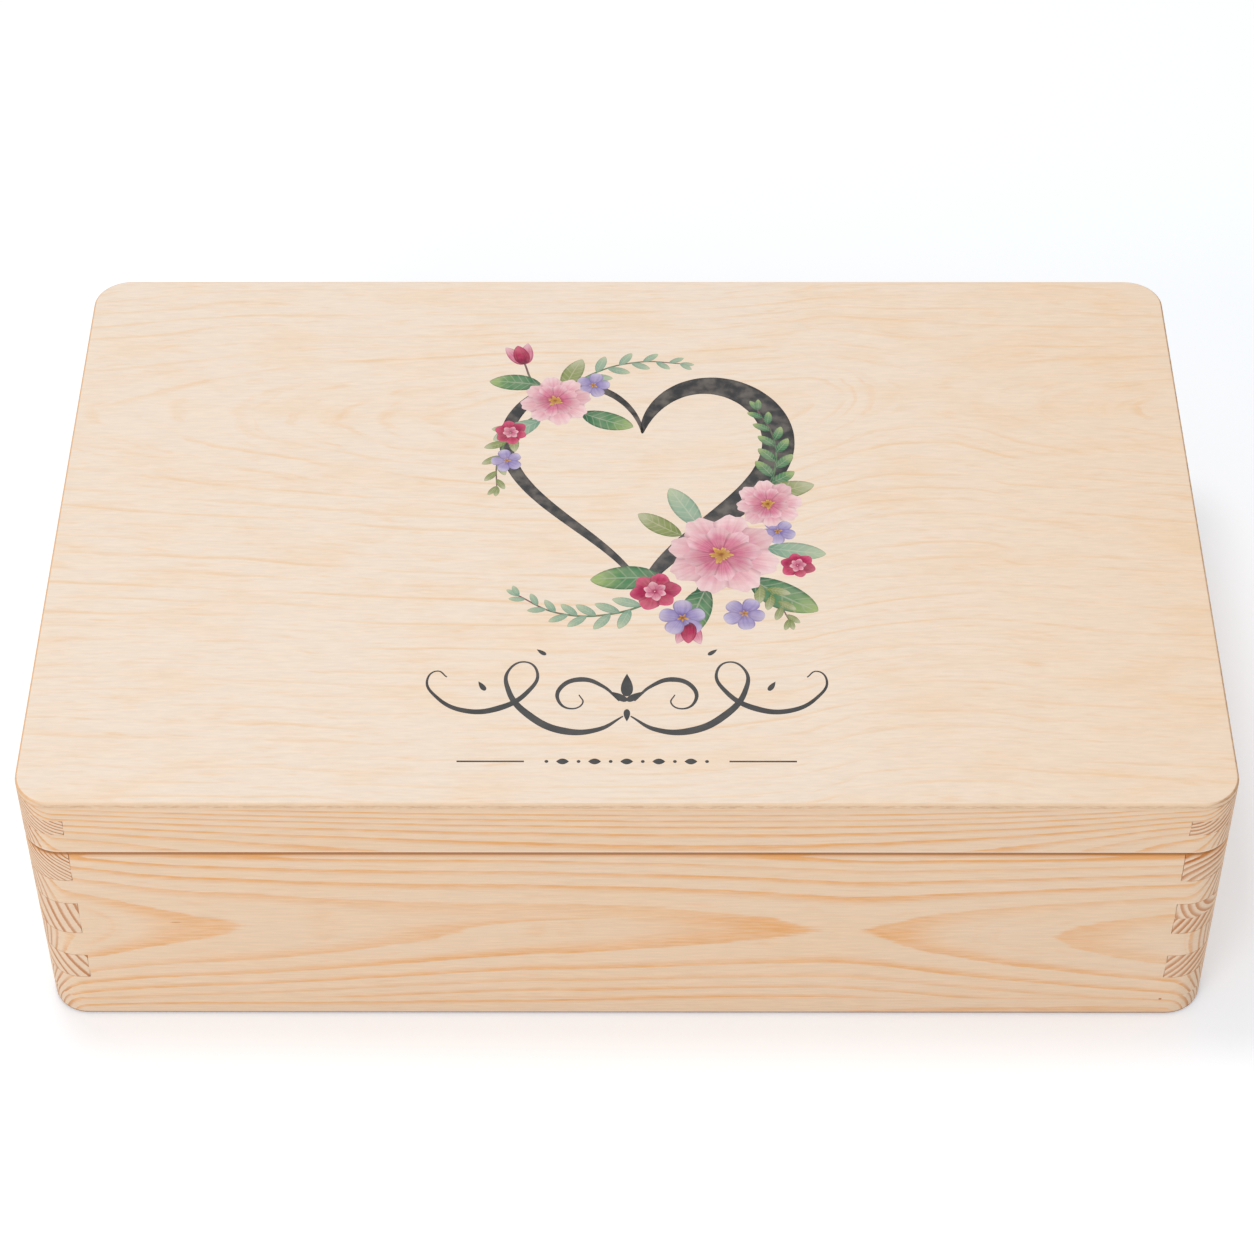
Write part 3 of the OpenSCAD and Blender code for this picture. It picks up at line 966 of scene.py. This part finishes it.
lilac_ink = watercolour(
    "petal_lilac", (120, 98, 168), (176, 162, 208), (214, 204, 230), wash=0.4, streaks=0.4)
pollen_ink = watercolour("pollen", (150, 88, 40), (206, 150, 70), (232, 190, 110), wash=0.2)

HEART_STEPS = 28
HEART_PLACE = (5, 26)
HEART_HALF_WIDTH = 46.4
HEART_SCALE = 3.5
lobes = []
for side, swell in ((1, 5.3), (-1, 2.1)):
    lobe = []
    for step in range(HEART_STEPS + 1):
        turn = math.pi * (step / HEART_STEPS)
        x = HEART_HALF_WIDTH * math.sin(turn) ** 3
        y = 13 * math.cos(turn) - 5 * math.cos(2 * turn) - 2 * math.cos(3 * turn)
        y = HEART_SCALE * (y - math.cos(4 * turn))
        half = 0.25 + swell * math.sin(turn) ** 1.2
        lobe.append((HEART_PLACE[0] + side * x, HEART_PLACE[1] + y, half))
    lobes.append(lobe)
strokes("print_heart", charcoal, lobes, 0, step=0.8)


def smooth_path(points, steps=12):
    """Places and directions along a smooth line through the points"""
    ends = [points[0]] + list(points) + [points[-1]]
    out = []
    for before, start, end, after in zip(ends, ends[1:], ends[2:], ends[3:]):
        for step in range(steps):
            t = step / steps
            spot = []
            for a, b, c, d in zip(before[:2], start[:2], end[:2], after[:2]):
                square, cube = 2 * a - 5 * b + 4 * c - d, 3 * b - a - 3 * c + d
                spot.append(0.5 * (2 * b + (c - a) * t + square * t * t + cube * t ** 3))
            out.append(spot)
    turns = [math.degrees(math.atan2(b[1] - a[1], b[0] - a[0])) for a, b in zip(out, out[1:])]
    return [(x, y, turn) for (x, y), turn in zip(out, turns)]


def leaflets(points, count, start, coat, small=0.45, lean=48):
    """Leaf places in turn on both sides of a stem, smaller towards its tip"""
    path = smooth_path(points)
    found = []
    for number in range(count):
        share = start + (0.98 - start) * number / (count - 1)
        x, y, turn = path[min(int(share * len(path)), len(path) - 1)]
        size = 1 - (1 - small) * share
        turn += (1 if number % 2 else -1) * lean * (1 - 0.35 * share)
        found.append((x, y, size, turn, coat + 0.5 * (number % 2)))
    x, y, turn = path[-1]
    found.append((x, y, small, turn, coat))
    return found


def laid_on(places, turned, coats):
    """The same places with the petals turned by some degrees, and some coats of ink higher"""
    return [(x, y, size, turn + turned, coat + coats) for x, y, size, turn, coat in places]


SPRAY_LEFT = [(14, -33, 0.45), (-4, -42, 0.42), (-22, -42, 0.35), (-37, -33, 0.25)]
SPRAY_RIGHT = [(42, 6, 0.45), (49, 22, 0.4), (50, 40, 0.32), (44, 57, 0.22)]
SPRAY_TOP = [(-24, 62, 0.4), (-12, 74, 0.36), (4, 80, 0.3), (20, 79, 0.2)]
SPRAY_DOWN = [(-28, 56, 0.4), (-39, 44, 0.36), (-44, 30, 0.3), (-44, 16, 0.2)]
SPRAY_OUT = [(36, -22, 0.4), (47, -33, 0.35), (53, -46, 0.22)]
BUD_STEMS = [
    [(-24, 60, 0.4), (-33, 70, 0.38), (-36, 79, 0.34)],
    [(30, -16, 0.4), (22, -34, 0.38), (20, -46, 0.34)],
]
SPRAYS = [SPRAY_LEFT, SPRAY_RIGHT, SPRAY_TOP, SPRAY_DOWN, SPRAY_OUT]
strokes("print_stems", stem_ink, SPRAYS + BUD_STEMS, 2)
sage_places = leaflets(SPRAY_LEFT, 13, 0.2, 3) + leaflets(SPRAY_TOP, 9, 0.3, 3) + [
    (24, -2, 1.9, 118, 3), (-30, 50, 1.7, -148, 3), (46, -12, 1.8, -8, 3),
]
flowers("print_sage_leaves", sage_ink, sage_places, length=11, width=4.4, variety=0.0)
green_places = leaflets(SPRAY_RIGHT, 11, 0.3, 4) + [
    (40, -26, 2.2, -40, 4), (12, -26, 2.0, 176, 4), (26, -30, 1.9, -112, 4.5),
    (-30, 68, 1.5, 168, 4), (-16, 54, 1.6, -28, 4),
]
flowers("print_green_leaves", leaf_ink, green_places, length=12, width=5.4, bend=1.2, variety=0.0)
olive_places = leaflets(SPRAY_DOWN, 9, 0.3, 4) + leaflets(SPRAY_OUT, 7, 0.35, 4) + [
    (44, 12, 1.8, 24, 4.5), (18, -6, 1.6, 150, 4.5), (-22, 66, 1.5, 74, 4.5),
]
flowers("print_olive_leaves", olive_ink, olive_places, length=11, width=4.6, bend=-1.0, variety=0.0)

DAISIES = ((31, -15, 1.2, 8, 8), (47, 9, 0.72, 30, 7.5), (-25, 60, 0.78, -12, 8))
flowers("print_daisy_petals", blush_ink, DAISIES, petals=8, spread=315, root=1.2, length=14,
        width=10.5, root_fullness=0.72, tip_fullness=0.0, tip_round=0.3, tip_notch=0.03,
        variety=0.06, seed=4)
flowers("print_daisy_inner", rose_ink, laid_on(DAISIES, 22, 1.2), petals=8, spread=315, root=0.8,
        length=9.6, width=7.2, tip_fullness=0.0, tip_round=0.32, tip_notch=0.03, variety=0.08,
        seed=9)
flowers("print_daisy_hearts", pollen_ink, laid_on(DAISIES, 0, 2.4), petals=16, spread=337,
        length=3.0, width=1.1, variety=0.25, seed=2)
WINE = ((9, -32, 0.72, 40, 7), (56, -20, 0.5, 10, 6), (-40, 44, 0.5, 70, 6))
flowers("print_wine_petals", wine_ink, WINE, petals=6, spread=300, root=0.8, length=11, width=9.5,
        root_fullness=0.8, tip_fullness=0.12, tip_round=0.3, variety=0.07, seed=5)
flowers("print_wine_hearts", rose_ink, laid_on(WINE, 30, 1.2), petals=6, spread=300, root=0.3,
        length=5.5, width=4.2, root_fullness=0.6, tip_fullness=0.2, tip_round=0.25, variety=0.1,
        seed=6)
BELLS = ((18, -44, 0.8, 20, 6), (50, -4, 0.6, 50, 6), (38, -42, 0.72, -10, 6),
         (-12, 68, 0.62, 5, 6), (-41, 30, 0.55, 35, 6))
flowers("print_bell_petals", lilac_ink, BELLS, petals=5, spread=288, root=0.4, length=9,
        width=7.4, root_fullness=0.8, tip_fullness=0.45, variety=0.08, seed=7)
flowers("print_bell_hearts", pollen_ink, laid_on(BELLS, 36, 1.2), petals=5, spread=288,
        length=2.4, width=1.0, variety=0.2, seed=8)
TULIPS = ((-36, 79, 0.9, 106, 5), (20, -46, 0.85, -92, 5))
flowers("print_tulip_outer", rose_ink, TULIPS, petals=2, spread=44, length=12, width=5.6,
        root_fullness=0.5, tip_fullness=0.8, variety=0.04, seed=3)
flowers("print_tulip_inner", wine_ink, laid_on(TULIPS, 0, 1), length=11, width=6.2,
        root_fullness=0.5, variety=0.0)

SCROLL = [
    (1.2, -87, 0.2), (9, -92.6, 0.7), (20, -93.2, 1.1), (31, -86.5, 1.0), (37.6, -76, 0.65),
    (37.6, -67, 0.35), (32.5, -63.6, 0.25), (28.6, -68.2, 0.35), (31.4, -76.4, 0.6),
    (40.5, -83.6, 0.9), (51.5, -84.6, 0.75), (60.4, -78.8, 0.45), (63.6, -71.4, 0.28),
    (60.6, -67.6, 0.2), (57.4, -70.2, 0.18),
]
CURL = [
    (2.4, -80.5, 0.18), (7.6, -74.2, 0.5), (14.6, -71.2, 0.8), (20.8, -74.4, 0.6),
    (21.6, -80.6, 0.4), (17.6, -83.8, 0.26), (14, -81.4, 0.2), (15.2, -77.8, 0.16),
]
RULE_Y = -106
RULE = [(x, RULE_Y, 0.32) for x in (32, 42.5, 53)]
PEN_PRESSURE = 1.3
lines = [[(x, y, PEN_PRESSURE * half) for x, y, half in line] for line in (SCROLL, CURL)] + [RULE]
lines += [[(-x, y, half) for x, y, half in line] for line in lines]
strokes("print_flourish", pen_ink, lines, 0, step=0.35)
flowers("print_drops", pen_ink, [
    (0, -78.5, 1.5, 90, 0), (0, -80.5, 1.0, 38, 0), (0, -80.5, 1.0, 142, 0), (0, -84, 0.8, -90, 0),
    (26, -60.5, 0.6, 40, 0), (-26, -60.5, 0.6, 140, 0), (45, -76, 0.7, 60, 0),
    (-45, -76, 0.7, 120, 0),
], length=6.5, width=2.6, variety=0.0, root_fullness=0.5, tip_fullness=1.0)
flowers("print_lozenges", pen_ink, [(x - 2, RULE_Y, 1.0, 0, 0) for x in range(-20, 21, 10)],
        length=4, width=2.4, variety=0.0, root_fullness=1.0, tip_fullness=1.0)
flowers("print_dots", pen_ink, [(x - 0.6, RULE_Y, 1.0, 0, 0) for x in range(-25, 26, 10)],
        length=1.2, width=1.2, variety=0.0, root_fullness=0.5, tip_fullness=0.5)

# Studio: a pale floor, a small soft lamp overhead and a large one at the front left, and an even
# white surround. None of it is part of the box.
CAMERA_PLACE = (2.6 * MM, -800.5 * MM, 892.7 * MM)
CAMERA_LENS = 96.70
CAMERA_DOWN = 0.8077
CAMERA_YAW = -0.0035
CAMERA_ROLL = -0.0020
FLOOR_HALF = 6.0
FLOOR_GREY = (0.8, 0.8, 0.8, 1)
FLOOR_GLOW = (0.67, 0.82, 1.0, 1)
FLOOR_GLOW_STRENGTH = 0.195
SURROUND_LIGHT = 0.65
WHITE = (1, 1, 1, 1)

forward = Vector((
    math.sin(CAMERA_YAW) * math.cos(CAMERA_DOWN),
    math.cos(CAMERA_YAW) * math.cos(CAMERA_DOWN),
    -math.sin(CAMERA_DOWN),
))
level = Vector((math.cos(CAMERA_YAW), -math.sin(CAMERA_YAW), 0))
upright = level.cross(forward)
right = math.cos(CAMERA_ROLL) * level + math.sin(CAMERA_ROLL) * upright
up = math.cos(CAMERA_ROLL) * upright - math.sin(CAMERA_ROLL) * level
turn = Matrix((right, up, -forward)).transposed()
lens = bpy.data.cameras.new("camera")
lens.lens = CAMERA_LENS
lens.sensor_width = 36
camera = set_up("camera", lens)
camera.matrix_world = Matrix.Translation(CAMERA_PLACE) @ turn.to_4x4()
bpy.context.scene.camera = camera


def seen_directly(tree):
    """1 for what the camera sees straight, mirrored or through glass, and 0 for stray light"""
    rays = tree.nodes.new("ShaderNodeLightPath").outputs
    turned_aside = larger_of(rays["Is Glossy Ray"], rays["Is Transmission Ray"])
    return larger_of(rays["Is Camera Ray"], turned_aside)


corners = [(x * FLOOR_HALF, y * FLOOR_HALF, 0) for x, y in ((-1, -1), (1, -1), (1, 1), (-1, 1))]
floor_mesh = bpy.data.meshes.new("floor")
floor_mesh.from_pydata(corners, [], [(0, 1, 2, 3)])
floor = set_up("floor", floor_mesh)
floor_paint, tree, shader = new_material("floor_paint")
surface(shader, FLOOR_GREY, roughness=0.9, sheen=0.1)
paper = tree.nodes.new("ShaderNodeBsdfDiffuse")
feed(paper.inputs["Color"], WHITE)
glow = tree.nodes.new("ShaderNodeEmission")
feed(glow.inputs["Color"], FLOOR_GLOW)
feed(glow.inputs["Strength"], FLOOR_GLOW_STRENGTH)
bright = tree.nodes.new("ShaderNodeAddShader")
seen = tree.nodes.new("ShaderNodeMixShader")
feed(bright.inputs[0], paper.outputs[0])
feed(bright.inputs[1], glow.outputs[0])
feed(seen.inputs[0], seen_directly(tree))
feed(seen.inputs[1], shader.outputs[0])
feed(seen.inputs[2], bright.outputs[0])
feed(tree.nodes["Material Output"].inputs["Surface"], seen.outputs[0])
floor_mesh.materials.append(floor_paint)

for name, place, size, power in (
    ("overhead", (-0.2, 0.1, 1.4), 0.3, 4.0),
    ("window", (-1.0, -1.8, 1.1), 1.2, 12.9),
):
    lamp = bpy.data.lights.new(name, "AREA")
    lamp.shape = "DISK"
    lamp.size = size
    lamp.energy = power
    stand = set_up(name, lamp)
    stand.location = place
    stand.rotation_mode = "QUATERNION"
    stand.rotation_quaternion = (-stand.location).to_track_quat("-Z", "Y")

world = bpy.data.worlds.new("studio")
bpy.context.scene.world = world
world.use_nodes = True
tree = world.node_tree
surround = tree.nodes["Background"].inputs
feed(surround["Color"], WHITE)
strength = scaled(seen_directly(tree), 1 - SURROUND_LIGHT, SURROUND_LIGHT)
feed(surround["Strength"], strength)

bpy.context.scene.view_settings.view_transform = "Standard"
